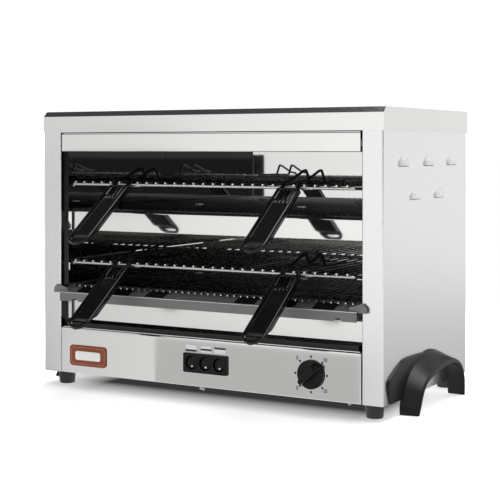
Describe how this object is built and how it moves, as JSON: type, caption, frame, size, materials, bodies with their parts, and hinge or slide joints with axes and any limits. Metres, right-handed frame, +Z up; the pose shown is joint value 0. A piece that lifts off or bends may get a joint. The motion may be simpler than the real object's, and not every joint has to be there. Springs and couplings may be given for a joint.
{
  "type": "commercial toaster",
  "caption": "Open-fronted bar toaster of two levels in steel sheet, with pull-out wire racks on black handles, quartz tubes, a crumb tray, a timer knob and rocker switches.",
  "frame": {"origin": "middle of the bounding box, on the counter under the feet", "axes": "+X to the user's right along the front, +Y from the front to the back, +Z up"},
  "size_m": [0.6516, 0.4582, 0.44],
  "materials": {
    "outer_steel": "smooth satin stainless sheet, lightly polished",
    "back_steel": "plain mill sheet",
    "cavity_steel": "polished sheet, warmed a little by use",
    "guard_steel": "dark polished sheet",
    "tray_steel": "plain sheet",
    "wire": "bright plated wire",
    "handle_plastic": "black moulding, glossy",
    "arch_plastic": "black moulding, glossy",
    "control_plastic": "black moulding",
    "inner_plastic": "plain moulding",
    "quartz": "milky quartz",
    "ceramic": "unglazed ceramic",
    "foot_rubber": "black rubber",
    "fastener_steel": "plated screws",
    "shaft_brass": "turned brass",
    "plate_paint": "rust-red paint with a pale field"
  },
  "bodies": {
    "cabinet": {"lid": "outer_steel", "side_panel_left": "outer_steel", "side_panel_right": "outer_steel", "upper_fascia": "outer_steel", "middle_strip": "outer_steel", "bottom_strip": "outer_steel", "control_panel": "outer_steel", "base_pan": "back_steel", "rear_panel": "back_steel", "cavity_floor_plate": "cavity_steel", "inner_wall_left": "cavity_steel", "inner_wall_right": "cavity_steel", "inner_back_wall": "cavity_steel", "top_reflector": "cavity_steel", "upper_rack_runners": "cavity_steel", "lower_rack_runners": "cavity_steel", "bottom_guard_ledges": "cavity_steel", "guard_ledges": "cavity_steel", "bottom_guard_frame": "guard_steel", "top_guard": "wire", "middle_upper_guard": "wire", "middle_lower_guard": "wire", "bottom_guard_mesh": "wire", "side_arch_left": "arch_plastic", "side_arch_right": "arch_plastic", "switch_bezel": "control_plastic", "timer_body": "inner_plastic", "switch_block": "inner_plastic", "terminal_block": "inner_plastic", "cable_gland": "inner_plastic", "top_heating_tubes": "quartz", "middle_heating_tubes": "quartz", "bottom_heating_tubes": "quartz", "top_tube_ceramics": "ceramic", "middle_tube_ceramics": "ceramic", "bottom_tube_ceramics": "ceramic", "foot_front_left": "foot_rubber", "foot_front_right": "foot_rubber", "foot_rear_left": "foot_rubber", "foot_rear_right": "foot_rubber", "case_screws": "fastener_steel", "foot_screws": "fastener_steel", "front_plate": "plate_paint"},
    "upper_rack_assembly": {"upper_rack": "wire", "upper_bracket_left": "wire", "upper_bracket_right": "wire", "upper_handle_left": "handle_plastic", "upper_handle_right": "handle_plastic"},
    "lower_rack_assembly": {"lower_rack": "wire", "lower_bracket_left": "wire", "lower_bracket_right": "wire", "lower_handle_left": "handle_plastic", "lower_handle_right": "handle_plastic"},
    "crumb_tray_body": {"crumb_tray": "tray_steel"},
    "timer_knob_body": {"timer_knob": "control_plastic", "timer_shaft": "shaft_brass"},
    "rocker_left_body": {"rocker_left": "control_plastic"},
    "rocker_middle_body": {"rocker_middle": "control_plastic"},
    "rocker_right_body": {"rocker_right": "control_plastic"}
  },
  "joints": [
    {"name": "upper_rack_slide", "type": "slide", "parent": "cabinet", "child": "upper_rack_assembly", "axis": [0, -1, 0], "range_m": [0, 0.22]},
    {"name": "lower_rack_slide", "type": "slide", "parent": "cabinet", "child": "lower_rack_assembly", "axis": [0, -1, 0], "range_m": [0, 0.22]},
    {"name": "crumb_tray_slide", "type": "slide", "parent": "cabinet", "child": "crumb_tray_body", "axis": [0, -1, 0], "range_m": [0, 0.2]},
    {"name": "timer_turn", "type": "hinge", "parent": "cabinet", "child": "timer_knob_body", "pos_m": [0.1862, -0.11371, 0.0576], "axis": [0, 1, 0], "range_deg": [0, 270]},
    {"name": "rocker_left_tilt", "type": "hinge", "parent": "cabinet", "child": "rocker_left_body", "pos_m": [-0.0158, -0.11071, 0.0576], "axis": [1, 0, 0], "range_deg": [0, 16]},
    {"name": "rocker_middle_tilt", "type": "hinge", "parent": "cabinet", "child": "rocker_middle_body", "pos_m": [0.0086, -0.11071, 0.0576], "axis": [1, 0, 0], "range_deg": [0, 16]},
    {"name": "rocker_right_tilt", "type": "hinge", "parent": "cabinet", "child": "rocker_right_body", "pos_m": [0.033, -0.11071, 0.0576], "axis": [1, 0, 0], "range_deg": [0, 16]}
  ]
}
